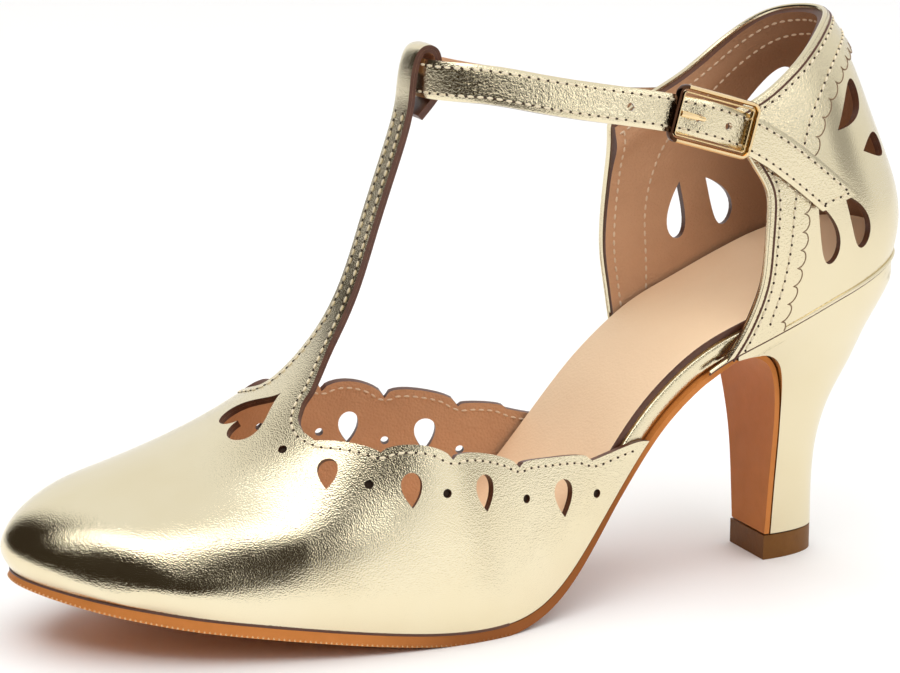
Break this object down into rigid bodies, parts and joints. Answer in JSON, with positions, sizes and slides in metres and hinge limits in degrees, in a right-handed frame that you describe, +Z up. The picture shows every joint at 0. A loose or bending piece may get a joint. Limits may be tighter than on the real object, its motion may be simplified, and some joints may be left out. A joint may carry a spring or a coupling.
{
  "type": "ankle strap pump",
  "caption": "Left women's closed-toe pump with a curved covered heel, an instep strap looped round a buckled ankle strap, scalloped edges and cut-outs.",
  "frame": {"origin": "middle of the underside of the heel's top piece, on the floor", "axes": "+X from the toe towards the heel, +Y towards the inner side of the foot, +Z up"},
  "size_m": [0.237, 0.0786, 0.1427],
  "materials": {
    "gold_leather": "pale metallic gold, fine grain",
    "outsole_leather": "smooth caramel",
    "sock_lining": "matt beige",
    "top_piece_rubber": "matt dark brown",
    "buckle_brass": "polished gold plate"
  },
  "bodies": {
    "root": {"outsole": "outsole_leather", "insole": "gold_leather", "sock": "sock_lining", "vamp": "gold_leather", "quarter": "gold_leather", "collar_band": "gold_leather", "back_strip": "gold_leather", "heel": "gold_leather", "top_piece": "top_piece_rubber", "ankle_strap": "gold_leather", "buckle_frame": "buckle_brass", "buckle_prong": "buckle_brass"}
  },
  "joints": []
}
